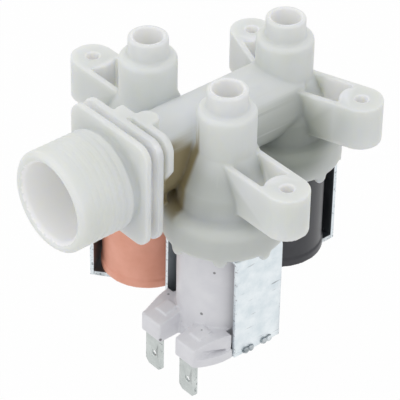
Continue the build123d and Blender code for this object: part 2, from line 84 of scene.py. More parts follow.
back = Vector((
    math.sin(VIEW_AZIMUTH) * math.cos(VIEW_ELEVATION),
    -math.cos(VIEW_AZIMUTH) * math.cos(VIEW_ELEVATION),
    math.sin(VIEW_ELEVATION),
))
camera_data = bpy.data.cameras.new("photo_camera")
camera_data.sensor_width = SENSOR_WIDTH
camera_data.lens = LENS
camera_data.clip_start = 0.01
camera_data.clip_end = 20.0
camera = bpy.data.objects.new("photo_camera", camera_data)
scene.collection.objects.link(camera)
turn = (-back).to_track_quat("-Z", "Y").to_matrix() @ Matrix.Rotation(VIEW_ROLL, 3, "Z")
camera.matrix_world = Matrix.Translation(VIEW_AIM + back * VIEW_DISTANCE) @ turn.to_4x4()
scene.camera = camera
print("camera at mm:", [round(v / MM, 1) for v in camera.location])

# %% [markdown]
# ## Colours and nodes
# Every colour below is written as the hex value that a paint program shows. Blender computes in
# linear light, so one function converts it. Another small function adds a shader or geometry
# node, gives it its settings and links its inputs, which keeps each tree readable.

# %% Two helpers for every node tree
def linear(hex_value):
    """An sRGB hex colour such as D6DADB as linear RGBA."""
    channels = [int(hex_value[i:i + 2], 16) / 255 for i in (0, 2, 4)]
    return [c / 12.92 if c <= 0.04045 else ((c + 0.055) / 1.055) ** 2.4 for c in channels] + [1.0]


def add(tree, kind, inputs=None, **settings):
    """Add a node; inputs maps a socket's name or number to a value or to the output that feeds it."""
    node = tree.nodes.new(kind)
    for name, value in settings.items():
        setattr(node, name, value)
    for socket, value in (inputs or {}).items():
        if isinstance(value, bpy.types.NodeSocket):
            tree.links.new(value, node.inputs[socket])
        else:
            node.inputs[socket].default_value = value
    return node


def new_material(name):
    """A node material with nothing but its Principled shader, wired to the output."""
    material = bpy.data.materials.new(name)
    material.use_nodes = True
    tree = material.node_tree
    tree.nodes.clear()
    shader = add(tree, "ShaderNodeBsdfPrincipled")
    add(tree, "ShaderNodeOutputMaterial", {"Surface": shader.outputs["BSDF"]})
    place = add(tree, "ShaderNodeTexCoord").outputs["Object"]
    return material, tree, shader, place


def per_mm(size):
    """Noise scale, per metre, whose features are about this many millimetres across."""
    return 1.0 / (size * MM)


print("white in linear light:", [round(c, 3) for c in linear("FFFFFF")])

# %% [markdown]
# ## Natural nylon
# The body is injection-moulded polyamide with no pigment. It is milky: light goes a few
# millimetres in, so edges glow and deep corners turn faintly green and yellow. The skin is
# satin, with a fine grain from the mould, and broad flow clouds a centimetre or two across.
# Four values stored on the mesh paint shade and light into the colour, each with its own tint:
# painted shade where a wall covers the black rubber, darker painted shade in the deep pockets,
# painted warm shade with bounced orange light beside the orange coil, and painted light in the
# bores, post holes, arm channels and flange groove.

# %% Make the body plastic
# Painted shade and light: tints for shade over the rubber, shade in the pockets, warm shade with the orange
# coil's bounced light, and light in the bores.
PAINTED_SHADE_AND_LIGHT = {"painted_rubber_shade": "C2C6C3", "pocket": "9CA19B", "painted_warm_shade": "9A8F70", "bore": "FDFEFE"}


def natural_nylon():
    material, tree, shader, place = new_material("natural_nylon")
    clouds = add(tree, "ShaderNodeTexNoise", {"Vector": place, "Scale": per_mm(16), "Detail": 3.0})
    tint = add(tree, "ShaderNodeValToRGB", {"Fac": clouds.outputs["Fac"]})
    tint.color_ramp.elements[0].position = 0.3
    tint.color_ramp.elements[0].color = linear("DDE0DC")
    tint.color_ramp.elements[1].position = 0.7
    tint.color_ramp.elements[1].color = linear("E3E6E7")
    colour = tint.outputs["Color"]
    # Each stored value blends a painted shade or painted light into the colour.
    for name, shade in PAINTED_SHADE_AND_LIGHT.items():
        amount = add(tree, "ShaderNodeAttribute", attribute_name=name).outputs["Fac"]
        blend = add(tree, "ShaderNodeMix", {
            "Factor": amount, "A": colour, "B": linear(shade),
        }, data_type="RGBA")
        colour = blend.outputs["Result"]
    grain = add(tree, "ShaderNodeTexNoise", {"Vector": place, "Scale": per_mm(0.5), "Detail": 2.0})
    bump = add(tree, "ShaderNodeBump", {
        "Height": grain.outputs["Fac"], "Strength": 0.12, "Distance": 0.05 * MM,
    })
    sheen = add(tree, "ShaderNodeMapRange", {"Value": clouds.outputs["Fac"], "To Min": 0.36, "To Max": 0.48})
    tree.links.new(colour, shader.inputs["Base Color"])
    tree.links.new(sheen.outputs["Result"], shader.inputs["Roughness"])
    tree.links.new(bump.outputs["Normal"], shader.inputs["Normal"])
    shader.inputs["Subsurface Weight"].default_value = 1.0
    shader.inputs["Subsurface Radius"].default_value = (1.0, 0.95, 0.75)
    shader.inputs["Subsurface Scale"].default_value = 5.5 * MM
    shader.inputs["IOR"].default_value = 1.53
    return material


NYLON = natural_nylon()
print("body plastic:", NYLON.name)

# %% [markdown]
# ## Overmoulding compounds
# The coils are encased in glass-filled polyamide, one colour for each outlet. Its skin is
# smooth with a slight mottle, shinier than the body, and the pale one has picked up dark specks.

# %% Make the three coil plastics
def coil_compound(name, body, shade, roughness, specks):
    material, tree, shader, place = new_material(name)
    mottle = add(tree, "ShaderNodeTexNoise", {"Vector": place, "Scale": per_mm(5), "Detail": 4.0})
    tint = add(tree, "ShaderNodeValToRGB", {"Fac": mottle.outputs["Fac"]})
    tint.color_ramp.elements[0].position = 0.35
    tint.color_ramp.elements[0].color = linear(shade)
    tint.color_ramp.elements[1].position = 0.65
    tint.color_ramp.elements[1].color = linear(body)
    dots = add(tree, "ShaderNodeTexVoronoi", {"Vector": place, "Scale": per_mm(5.5), "Randomness": 1.0})
    dirt = add(tree, "ShaderNodeMapRange", {
        "Value": dots.outputs["Distance"], "From Min": 0.06, "From Max": 0.09,
        "To Min": specks, "To Max": 0.0,
    })
    colour = add(tree, "ShaderNodeMix", {
        "Factor": dirt.outputs["Result"], "A": tint.outputs["Color"], "B": linear("4A4648"),
    }, data_type="RGBA")
    fibre = add(tree, "ShaderNodeTexNoise", {"Vector": place, "Scale": per_mm(0.4), "Detail": 3.0})
    bump = add(tree, "ShaderNodeBump", {
        "Height": fibre.outputs["Fac"], "Strength": 0.15, "Distance": 0.04 * MM,
    })
    gloss = add(tree, "ShaderNodeMapRange", {
        "Value": mottle.outputs["Fac"], "To Min": roughness - 0.05, "To Max": roughness + 0.08,
    })
    tree.links.new(colour.outputs["Result"], shader.inputs["Base Color"])
    tree.links.new(gloss.outputs["Result"], shader.inputs["Roughness"])
    tree.links.new(bump.outputs["Normal"], shader.inputs["Normal"])
    shader.inputs["IOR"].default_value = 1.53
    return material


COIL_PLASTIC = {
    "orange": coil_compound("orange_glass_filled_nylon", "F0AC95", "E8A188", 0.42, 0.0),
    "white": coil_compound("white_glass_filled_nylon", "E6E6EA", "DFDFE4", 0.38, 0.75),
    "black": coil_compound("black_glass_filled_nylon", "323339", "2A2B31", 0.33, 0.0),
}
print("coil plastics:", sorted(m.name for m in COIL_PLASTIC.values()))

# %% [markdown]
# ## Zinc-plated strip and tinned blades
# The yokes are bent from rolled steel with a thin bright zinc plate. It reflects the room softly,
# shows cloudy crystals a few millimetres across, and handling has left short strokes along the
# strip and dark nicks on its cut edges. Each stamping stores where its points lie along and
# across the strip, so the marks follow it whichever way the coil is turned.
# The faces that look at the coil get painted shade, a flat darker grey, where little light reaches inside the
# yoke.

# %% Make the metals
def plated_steel(name, bright, dull, roughness, wear, half_width=None):
    """Metal with cloudy plate; a stamping of a known half width in millimetres also has worn edges."""
    material, tree, shader, place = new_material(name)
    if half_width:
        place = add(tree, "ShaderNodeAttribute", attribute_name="strip").outputs["Vector"]
    cloud = add(tree, "ShaderNodeTexNoise", {
        "Vector": place, "Scale": per_mm(4), "Detail": 6.0, "Roughness": 0.65,
    })
    tint = add(tree, "ShaderNodeValToRGB", {"Fac": cloud.outputs["Fac"]})
    tint.color_ramp.elements[0].position = 0.32
    tint.color_ramp.elements[0].color = linear(dull)
    tint.color_ramp.elements[1].position = 0.62
    tint.color_ramp.elements[1].color = linear(bright)
    along = add(tree, "ShaderNodeMapping", {"Vector": place, "Scale": (0.12, 1.0, 1.0)})
    stroke = add(tree, "ShaderNodeTexNoise", {
        "Vector": along.outputs["Vector"], "Scale": per_mm(0.8), "Detail": 2.0,
    })
    marks = add(tree, "ShaderNodeMapRange", {
        "Value": stroke.outputs["Fac"], "From Min": 0.67, "From Max": 0.74, "To Min": 0.0, "To Max": wear,
    }).outputs["Result"]
    if half_width:
        across = add(tree, "ShaderNodeSeparateXYZ", {"Vector": place}).outputs["X"]
        reach = add(tree, "ShaderNodeMath", {0: across}, operation="ABSOLUTE").outputs["Value"]
        rim = add(tree, "ShaderNodeMapRange", {
            "Value": reach, "From Min": (half_width - 0.55) * MM, "From Max": half_width * MM,
        })
        chip = add(tree, "ShaderNodeTexNoise", {"Vector": place, "Scale": per_mm(0.7), "Detail": 3.0})
        chips = add(tree, "ShaderNodeMapRange", {
            "Value": chip.outputs["Fac"], "From Min": 0.57, "From Max": 0.66, "To Max": wear,
        })
        nicks = add(tree, "ShaderNodeMath", {
            0: rim.outputs["Result"], 1: chips.outputs["Result"],
        }, operation="MULTIPLY")
        marks = add(tree, "ShaderNodeMath", {
            0: marks, 1: nicks.outputs["Value"],
        }, operation="MAXIMUM").outputs["Value"]
    colour = add(tree, "ShaderNodeMix", {
        "Factor": marks, "A": tint.outputs["Color"], "B": linear("4A5155"),
    }, data_type="RGBA").outputs["Result"]
    # Painted shade: faces that look at the coil are blended towards a darker grey.
    inside = add(tree, "ShaderNodeAttribute", attribute_name="inside").outputs["Fac"]
    colour = add(tree, "ShaderNodeMix", {
        "Factor": inside, "A": colour, "B": linear("9CA2A6"),
    }, data_type="RGBA")
    gloss = add(tree, "ShaderNodeMapRange", {
        "Value": cloud.outputs["Fac"], "To Min": roughness - 0.1, "To Max": roughness + 0.15,
    })
    bump = add(tree, "ShaderNodeBump", {
        "Height": cloud.outputs["Fac"], "Strength": 0.25, "Distance": 0.06 * MM,
    })
    tree.links.new(colour.outputs["Result"], shader.inputs["Base Color"])
    tree.links.new(gloss.outputs["Result"], shader.inputs["Roughness"])
    tree.links.new(bump.outputs["Normal"], shader.inputs["Normal"])
    shader.inputs["Metallic"].default_value = 1.0
    return material


STRIP_HALF = 7.55
BLADE_HALF = 3.15
ZINC = plated_steel("zinc_plated_strip", "F1F7FA", "DCE6EB", 0.4, 0.55, STRIP_HALF)
STAKED = plated_steel("staked_bare_steel", "E4EAED", "7D868B", 0.27, 0.7, STRIP_HALF)
BLADE = plated_steel("tinned_brass_blade", "D8DDDB", "BFC5C3", 0.32, 0.6, BLADE_HALF)
STEEL = plated_steel("turned_iron_plunger", "B9BBBE", "8F9398", 0.3, 0.2)
WIRE = plated_steel("stainless_spring_wire", "D5D8DA", "B4B8BB", 0.22, 0.1)
print("metals:", [m.name for m in (ZINC, STAKED, BLADE, STEEL, WIRE)])

# %% [markdown]
# ## Rubber and inner plastic
# The washers and diaphragms are black nitrile rubber, matt with a bloom of pale dust. The
# strainer, covers and cores are white acetal, denser and whiter than the body.

# %% Make the inner materials
def inner_material(name, body, shade, roughness):
    material, tree, shader, place = new_material(name)
    bloom = add(tree, "ShaderNodeTexNoise", {"Vector": place, "Scale": per_mm(3), "Detail": 4.0})
    tint = add(tree, "ShaderNodeMix", {
        "Factor": bloom.outputs["Fac"], "A": linear(shade), "B": linear(body),
    }, data_type="RGBA")
    gloss = add(tree, "ShaderNodeMapRange", {
        "Value": bloom.outputs["Fac"], "To Min": roughness - 0.06, "To Max": roughness + 0.06,
    })
    tree.links.new(tint.outputs["Result"], shader.inputs["Base Color"])
    tree.links.new(gloss.outputs["Result"], shader.inputs["Roughness"])
    shader.inputs["IOR"].default_value = 1.5
    return material


RUBBER = inner_material("nitrile_rubber", "2B2B2C", "1E1E1F", 0.7)
ACETAL = inner_material("white_acetal", "E6E7E4", "DCDEDB", 0.4)
print("inner materials:", RUBBER.name, ACETAL.name)

# %% [markdown]
# ## The moulded body
# A mould never leaves a knife edge, and the real body is soft everywhere. Bevelling hundreds of
# edges by name would be fragile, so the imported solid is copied, rebuilt on a fine even grid with
# Voxel Remesh, and relaxed until each edge has the radius of the real one.

# %% Copy the solid and soften it
BODY_VOXEL = 0.3
BODY_RELAX = 7
BODY_TRIANGLES = 190000


def merged_copy(node, name):
    """A new object with a node's mesh in millimetres, its loose triangles joined."""
    mesh = nodes[node].data.copy()
    mesh.materials.clear()
    mesh.transform(Matrix.Scale(1 / MM, 4))
    work = bmesh.new()
    work.from_mesh(mesh)
    bmesh.ops.remove_doubles(work, verts=work.verts, dist=1e-3)
    work.to_mesh(mesh)
    work.free()
    piece = bpy.data.objects.new(name, mesh)
    scene.collection.objects.link(piece)
    return piece


def bake(piece):
    """Replace a piece's mesh by what its modifiers give, and remove them."""
    graph = bpy.context.evaluated_depsgraph_get()
    graph.update()
    mesh = bpy.data.meshes.new_from_object(piece.evaluated_get(graph))
    piece.modifiers.clear()
    old = piece.data
    piece.data = mesh
    bpy.data.meshes.remove(old)


def soften(piece, voxel, relax):
    """Voxel remesh at a size in millimetres, then relax the grid."""
    remesh = piece.modifiers.new("grid", "REMESH")
    remesh.mode = "VOXEL"
    remesh.voxel_size = voxel
    smooth = piece.modifiers.new("relax", "SMOOTH")
    smooth.factor = 0.5
    smooth.iterations = relax
    bake(piece)


body = merged_copy("valve_body", "moulded_body")
soften(body, BODY_VOXEL, BODY_RELAX)
print("softened body faces:", len(body.data.polygons))

# %% [markdown]
# ## The inlet thread
# The spigot carries a G3/4 pipe thread. A thread is a single groove that winds round once for
# each pitch, so its depth at a point depends only on the angle plus the distance along the axis.
# Geometry Nodes can work that out for each point of the fine grid and push the point in.

# %% Build the thread's node tree
def new_geometry_tree(name, sizes):
    """An empty geometry tree with one float input for each named size, and its group nodes."""
    tree = bpy.data.node_groups.new(name, "GeometryNodeTree")
    tree.interface.new_socket("Geometry", in_out="INPUT", socket_type="NodeSocketGeometry")
    for size in sizes:
        tree.interface.new_socket(size, in_out="INPUT", socket_type="NodeSocketFloat")
    tree.interface.new_socket("Geometry", in_out="OUTPUT", socket_type="NodeSocketGeometry")
    return tree, add(tree, "NodeGroupInput").outputs


def end_geometry_tree(tree, geometry, material):
    """Close a tree with Realize Instances and Set Material."""
    real = add(tree, "GeometryNodeRealizeInstances", {"Geometry": geometry})
    painted = add(tree, "GeometryNodeSetMaterial", {
        "Geometry": real.outputs["Geometry"], "Material": material,
    })
    add(tree, "NodeGroupOutput", {"Geometry": painted.outputs["Geometry"]})


THREAD = {
    "Pitch": 1.814, "Crest radius": 13.22, "Band": 0.6, "Start": -1.6, "End": -15.4, "Run-out": 1.2,
    "Depth at mouth": 0.08, "Depth at flange": 0.26,
}


def thread_tree():
    tree, sizes = new_geometry_tree("inlet_thread", THREAD)
    position = add(tree, "GeometryNodeInputPosition").outputs["Position"]
    point = add(tree, "ShaderNodeSeparateXYZ", {"Vector": position}).outputs
    spoke = add(tree, "ShaderNodeCombineXYZ", {"Y": point["Y"], "Z": point["Z"]}).outputs["Vector"]
    radius = add(tree, "ShaderNodeVectorMath", {0: spoke}, operation="LENGTH").outputs["Value"]
    angle = add(tree, "ShaderNodeMath", {0: point["Z"], 1: point["Y"]}, operation="ARCTAN2").outputs["Value"]
    turns = add(tree, "ShaderNodeMath", {
        0: point["X"], 1: sizes["Pitch"],
    }, operation="DIVIDE").outputs["Value"]
    phase = add(tree, "ShaderNodeMath", {
        0: turns, 1: 2 * math.pi, 2: angle,
    }, operation="MULTIPLY_ADD").outputs["Value"]
    crest = add(tree, "ShaderNodeMath", {0: phase}, operation="COSINE").outputs["Value"]
    groove = add(tree, "ShaderNodeMapRange", {
        "Value": crest, "From Min": 1.0, "From Max": -1.0,
    }).outputs["Result"]
    lead = add(tree, "ShaderNodeMath", {
        0: sizes["Start"], 1: point["X"],
    }, operation="SUBTRACT").outputs["Value"]
    tail = add(tree, "ShaderNodeMath", {
        0: point["X"], 1: sizes["End"],
    }, operation="SUBTRACT").outputs["Value"]
    length = add(tree, "ShaderNodeMath", {
        0: sizes["Start"], 1: sizes["End"],
    }, operation="SUBTRACT").outputs["Value"]
    depth = add(tree, "ShaderNodeMapRange", {
        "Value": lead, "From Max": length,
        "To Min": sizes["Depth at mouth"], "To Max": sizes["Depth at flange"],
    }).outputs["Result"]
    depth = add(tree, "ShaderNodeMath", {0: depth, 1: groove}, operation="MULTIPLY").outputs["Value"]
    for distance in (lead, tail):
        fade = add(tree, "ShaderNodeMapRange", {
            "Value": distance, "From Max": sizes["Run-out"],
        }).outputs["Result"]
        depth = add(tree, "ShaderNodeMath", {0: depth, 1: fade}, operation="MULTIPLY").outputs["Value"]
    outside = add(tree, "ShaderNodeMath", {
        0: radius, 1: sizes["Crest radius"], 2: sizes["Band"],
    }, operation="COMPARE").outputs["Value"]
    share = add(tree, "ShaderNodeMath", {0: depth, 1: radius}, operation="DIVIDE").outputs["Value"]
    share = add(tree, "ShaderNodeMath", {0: share, 1: outside}, operation="MULTIPLY").outputs["Value"]
    inward = add(tree, "ShaderNodeMath", {0: share, 1: -1.0}, operation="MULTIPLY").outputs["Value"]
    push = add(tree, "ShaderNodeVectorMath", {0: spoke, "Scale": inward}, operation="SCALE").outputs["Vector"]
    moved = add(tree, "GeometryNodeSetPosition", {
        "Geometry": sizes["Geometry"], "Offset": push,
    }).outputs["Geometry"]
    end_geometry_tree(tree, moved, NYLON)
    return tree


def run_tree(piece, tree, sizes):
    """Give a piece a geometry tree with these sizes, and bake the result."""
    modifier = piece.modifiers.new(tree.name, "NODES")
    modifier.node_group = tree
    for item in tree.interface.items_tree:
        if item.in_out == "INPUT" and item.name in sizes:
            modifier[item.identifier] = sizes[item.name]
    bake(piece)


# %% Press the thread into the spigot
before = [vertex.co.copy() for vertex in body.data.vertices]
run_tree(body, thread_tree(), THREAD)
shifts = [(vertex.co - old).length for vertex, old in zip(body.data.vertices, before)]
print("thread points moved:", sum(s > 1e-4 for s in shifts), "deepest in mm:", round(max(shifts), 3))

# %% [markdown]
# ## A lighter mesh
# The fine grid has far more faces than the part needs, so Decimate thins it. On the straight pipe
# that leaves long thin triangles. The thinned mesh takes its shading normals from a copy of the
# fine one with a Data Transfer modifier, though faint lines along the pipe remain.

# %% Thin the body and keep its smooth shading
fine = bpy.data.objects.new("fine_body", body.data.copy())
scene.collection.objects.link(fine)
fine.data.polygons.foreach_set("use_smooth", [True] * len(fine.data.polygons))
triangles = sum(len(p.vertices) - 2 for p in body.data.polygons)
thin = body.modifiers.new("thin", "DECIMATE")
thin.ratio = min(1.0, BODY_TRIANGLES / triangles)
bake(body)
body.data.polygons.foreach_set("use_smooth", [True] * len(body.data.polygons))
shade = body.modifiers.new("shade", "DATA_TRANSFER")
shade.object = fine
shade.use_loop_data = True
shade.data_types_loops = {"CUSTOM_NORMAL"}
shade.loop_mapping = "POLYINTERP_NEAREST"
bake(body)
fine_mesh = fine.data
bpy.data.objects.remove(fine)
bpy.data.meshes.remove(fine_mesh)
print("triangles before and after:", triangles, len(body.data.polygons))

# %% [markdown]
# ## Painted shade and light on the body
# The plastic's colour carries painted shade and painted light: painted shade on the walls over
# the black rubber and in the deep pockets, painted warm shade by the orange coil, and painted light
# in the bores. Painting that by hand would be slow, and its places are known from the solids. So
# four values from 0 to 1 are worked out for each point and stored on the mesh, where the plastic's
# material reads them. Limits are in millimetres, and each pair says where a value starts and where it is
# full.

# %% Name the places
VALVE_AXES = {}
for colour in COLOURS:
    plunger_low, plunger_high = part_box(f"{colour}_plunger")
    VALVE_AXES[colour] = (Vector(plunger_low) + Vector(plunger_high)).to_2d() / (2 * MM)
ARMS = [("orange", -90.0), ("white", 90.0), ("black", 110.0), ("black", -110.0)]
ARM_REACH = 22.0
# Where painted warm shade falls: the recess behind the flange by the orange coil, tinted as by its bounced
# light.
RECESS = {"x": (-39.0, -36.5, -25.0, -23.0), "y": (3.0, 5.5, 12.2, 13.8), "z": (-12.0, -9.0, 6.2, 8.2)}
# Where darker painted shade falls: on the manifold's side and in a pocket by the black valve's neck.
MANIFOLD_SIDE = {"x": (-77.0, -71.0, -57.0, -52.0), "y": (5.5, 7.5, 10.6, 12.5), "z": (-9.0, -6.0, 5.0, 6.8)}
POCKET_CENTRE = Vector((-69.5, 11.0, -8.0))
POCKET_INNER = 5.0
POCKET_OUTER = 12.0
NOZZLE_BORE_R = 4.3
INLET_BORE_R = 11.0
INLET_BORE_END = -18.0
OUTLET_FLOOR_Z = 5.0
# Where painted light goes: the inlet and nozzle bores, the post holes, the arm channels and the flange
# groove.
HOLE_EDGE = (2.2, 1.7)
CHANNEL_START, CHANNEL_END = (8.0, 11.5), (18.5, 16.5)
CHANNEL_SIDE, CHANNEL_FLOOR = (4.9, 3.9), (-5.5, -4.0)
CHANNEL_GLOW = 0.9
GROOVE_BACK, GROOVE_FRONT, GROOVE_DEPTH = (-25.4, -25.0), (-19.9, -20.3), (14.3, 13.6)
GROOVE_GLOW = 0.7
# How far the painted shade over the rubber reaches round each tower, and how much lighter it gets lower down.
TOWER_FOOT_R, SHOULDER_GAIN, SHOULDER_Z = 11.5, 4.5, (-7.0, -10.0)
RUBBER_SHADE_FADE, RUBBER_SHADE_TOP = 2.5, (7.5, 0.0)
LOWER_SHADE_CUT, LOWER_SHADE_Z = 0.35, (-6.0, -9.5)
SIDE_SHADE_SHARE = 0.55
print("valve axes in mm:", {name: [round(v, 1) for v in axis] for name, axis in VALVE_AXES.items()})


# %% Soft limits
def ease(value, start, end):
    """Smooth step from 0 at start to 1 at end."""
    t = min(1.0, max(0.0, (value - start) / (end - start)))
    return t * t * (3 - 2 * t)


def soft_box(point, region):
    """1 inside a region's inner limits, falling to 0 at its outer ones."""
    amount = 1.0
    for value, (start, full, still, end) in zip(point, region.values()):
        amount *= ease(value, start, full) * ease(value, end, still)
    return amount


def painted_trough_light(x, y, z):
    """Painted light: 1 in the hole of a post, and nearly that inside the channel of an arm, fading at its
    ends.
    """
    most = 0.0
    for colour, heading in ARMS:
        dx, dy = x - VALVE_AXES[colour].x, y - VALVE_AXES[colour].y
        c, s = math.cos(math.radians(heading)), math.sin(math.radians(heading))
        along, across = dx * c + dy * s, abs(dy * c - dx * s)
        hole = ease(math.hypot(along - ARM_REACH, across), *HOLE_EDGE)
        channel = (
            CHANNEL_GLOW * ease(along, *CHANNEL_START) * ease(along, *CHANNEL_END)
            * ease(across, *CHANNEL_SIDE) * ease(z, *CHANNEL_FLOOR)
        )
        most = max(most, hole, channel)
    return most


# %% Paint shade over the rubber and in the pockets, warm shade by the orange coil, and light in the bores
marks = {name: [] for name in PAINTED_SHADE_AND_LIGHT}
for vertex in body.data.vertices:
    x, y, z = vertex.co
    near = min(math.hypot(x - axis.x, y - axis.y) for axis in VALVE_AXES.values())
    reach = TOWER_FOOT_R + SHOULDER_GAIN * ease(z, *SHOULDER_Z)
    # The painted shade over the rubber is lighter below the chamber's shoulder.
    lower_shade_share = 1.0 - LOWER_SHADE_CUT * ease(z, *LOWER_SHADE_Z)
    marks["painted_rubber_shade"].append(ease(near, reach + RUBBER_SHADE_FADE, reach) * ease(z, *RUBBER_SHADE_TOP) * lower_shade_share)
    # Painted shade in the pocket by the black valve and on the manifold's side.
    pocket = ease((vertex.co - POCKET_CENTRE).length, POCKET_OUTER, POCKET_INNER)
    marks["pocket"].append(max(pocket, SIDE_SHADE_SHARE * soft_box(vertex.co, MANIFOLD_SIDE)))
    # Painted warm shade, with the orange coil's bounced light painted in, in the recess behind the flange.
    marks["painted_warm_shade"].append(soft_box(vertex.co, RECESS))
    # Painted light in the bores, the flange groove, the post holes and the arm channels.
    inlet = math.hypot(y, z) < INLET_BORE_R and x > INLET_BORE_END
    outlet = near < NOZZLE_BORE_R and z > OUTLET_FLOOR_Z
    groove = (
        GROOVE_GLOW * ease(x, *GROOVE_BACK) * ease(x, *GROOVE_FRONT)
        * ease(max(abs(y), abs(z)), *GROOVE_DEPTH)
    )
    marks["bore"].append(1.0 if inlet or outlet else max(groove, painted_trough_light(x, y, z)))
for name, values in marks.items():
    body.data.attributes.new(name, "FLOAT", "POINT").data.foreach_set("value", values)
print("marked points:", {name: sum(v > 0.5 for v in values) for name, values in marks.items()})


# %% Put the body in the frame
def settle(piece, material, node):
    """Scale a millimetre piece into the frame, finish it, and let it stand for its solid."""
    piece.data.transform(Matrix.Scale(MM, 4))
    piece.data.polygons.foreach_set("use_smooth", [True] * len(piece.data.polygons))
    piece.data.materials.clear()
    piece.data.materials.append(material)
    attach(piece, "root")
    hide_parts(node)
    print(piece.name, "faces:", len(piece.data.polygons))


settle(body, NYLON, "valve_body")

# %% [markdown]
# ## The overmoulded coils
# Each coil is a short drum with a lip at its foot and two blocks that carry the blades. They are
# softened in the same way as the body, on a finer grid, because their edges are tighter.

# %% Soften the coils
COIL_VOXEL = 0.22
COIL_RELAX = 4
COIL_TRIANGLES = 60000

for colour in COLOURS:
    drum = merged_copy(f"{colour}_coil", f"{colour}_drum")
    soften(drum, COIL_VOXEL, COIL_RELAX)
    triangles = sum(len(p.vertices) - 2 for p in drum.data.polygons)
    thin = drum.modifiers.new("thin", "DECIMATE")
    thin.ratio = min(1.0, COIL_TRIANGLES / triangles)
    bake(drum)
    settle(drum, COIL_PLASTIC[colour], f"{colour}_coil")

# %% [markdown]
# ## Pressed steel
# The yokes, their closing plates and the blades are stamped. A punch leaves an edge that is
# almost sharp, so a small bevel with two steps catches the light without rounding the shape.

# %% Bevel the stampings
STAMPED_EDGE = 0.16
COIL_TURN = {"orange": 218.0, "white": 0.0, "black": -90.0}
COIL_MIDDLE_Z = -33.0
BLADE_SHIFT = 6.55


def mark_strip(piece, colour, blade=False):
    """Store each point's place along and across its strip, and mark the faces that look at the coil for
    painted shade.
    """
    axis = VALVE_AXES[colour].to_3d()
    turn = Matrix.Rotation(math.radians(-COIL_TURN[colour]), 3, "Z")
    middle = Vector((0.0, 0.0, COIL_MIDDLE_Z))
    places = []
    for vertex in piece.data.vertices:
        x, y, z = turn @ (vertex.co - axis)
        if blade:
            x, y = abs(y) - BLADE_SHIFT, x
        places += [x * MM, y * MM, z * MM]
    piece.data.attributes.new("strip", "FLOAT_VECTOR", "POINT").data.foreach_set("vector", places)
    # Faces turned to the coil are marked 1 for painted shade.
    inside = []
    for face in piece.data.polygons:
        to_coil = axis + middle - face.center
        inside.append(0.0 if blade or face.normal.dot(to_coil.normalized()) < 0.3 else 1.0)
    piece.data.attributes.new("inside", "FLOAT", "FACE").data.foreach_set("value", inside)


def stamped(node, name, material, colour, blade=False):
    piece = merged_copy(node, name)
    edge = piece.modifiers.new("edge", "BEVEL")
    edge.width = STAMPED_EDGE
    edge.segments = 2
    edge.limit_method = "ANGLE"
    edge.angle_limit = math.radians(40)
    bake(piece)
    mark_strip(piece, colour, blade)
    settle(piece, material, node)
    piece.data.set_sharp_from_angle(angle=math.radians(35))


for colour in COLOURS:
    stamped(f"{colour}_yoke", f"{colour}_strip", ZINC, colour)
    stamped(f"{colour}_yoke_plate", f"{colour}_closing_plate", STAKED, colour)
    stamped(f"{colour}_terminals", f"{colour}_blades", BLADE, colour, blade=True)

# %% [markdown]
# ## The strainer in the mouth
# A moulded basket sits deep in the spigot and keeps grit out. Its seat and its closed end are
# turned shapes, so an outline is spun round the axis. Between them stand stout ribs with a fine
# gauze over them, and Geometry Nodes sets those round the axis, each one turned a little further.

# %% Spin the seat and the closed end
SEAT_OUTLINE = [
    (7.5, -12.8), (9.85, -12.8), (10.1, -13.05), (10.1, -14.05), (9.85, -14.3), (8.4, -14.3),
    (8.2, -15.5), (7.4, -15.5), (7.3, -13.0),
]
END_OUTLINE = [
    (0.0, -20.0), (6.3, -20.0), (6.5, -19.5), (7.3, -19.5), (7.3, -20.5), (7.0, -20.8), (0.0, -20.8),
]
SPIN_STEPS = 96


def spun(name, outlines):
    """Spin closed (radius, x) outlines in millimetres round the X axis."""
    work = bmesh.new()
    for outline in outlines:
        points = [work.verts.new((x, 0.0, radius)) for radius, x in outline]
        closed = outline[0][0] > 0
        pairs = zip(points, points[1:] + points[:1])
        edges = [work.edges.new(pair) for pair in pairs][:None if closed else -1]
        bmesh.ops.spin(
            work, geom=points + edges, axis=(1, 0, 0), cent=(0, 0, 0),
            angle=2 * math.pi, steps=SPIN_STEPS, use_merge=True,
        )
    loose = [edge for edge in work.edges if not edge.link_faces]
    bmesh.ops.delete(work, geom=loose, context="EDGES")
    bmesh.ops.remove_doubles(work, verts=work.verts, dist=1e-4)
    bmesh.ops.recalc_face_normals(work, faces=work.faces)
    mesh = bpy.data.meshes.new(name)
    work.to_mesh(mesh)
    work.free()
    piece = bpy.data.objects.new(name, mesh)
    scene.collection.objects.link(piece)
    return piece


basket = spun("strainer_basket", [SEAT_OUTLINE, END_OUTLINE])
print("spun faces:", len(basket.data.polygons))

# %% Set the ribs and the gauze round it
BASKET = {
    "Top": -14.6, "End": -20.2, "Top radius": 7.8, "End radius": 6.9, "Ribs": 10, "Rib radius": 0.55,
    "Wires": 70, "Wire radius": 0.14, "Hoops": 8,
}


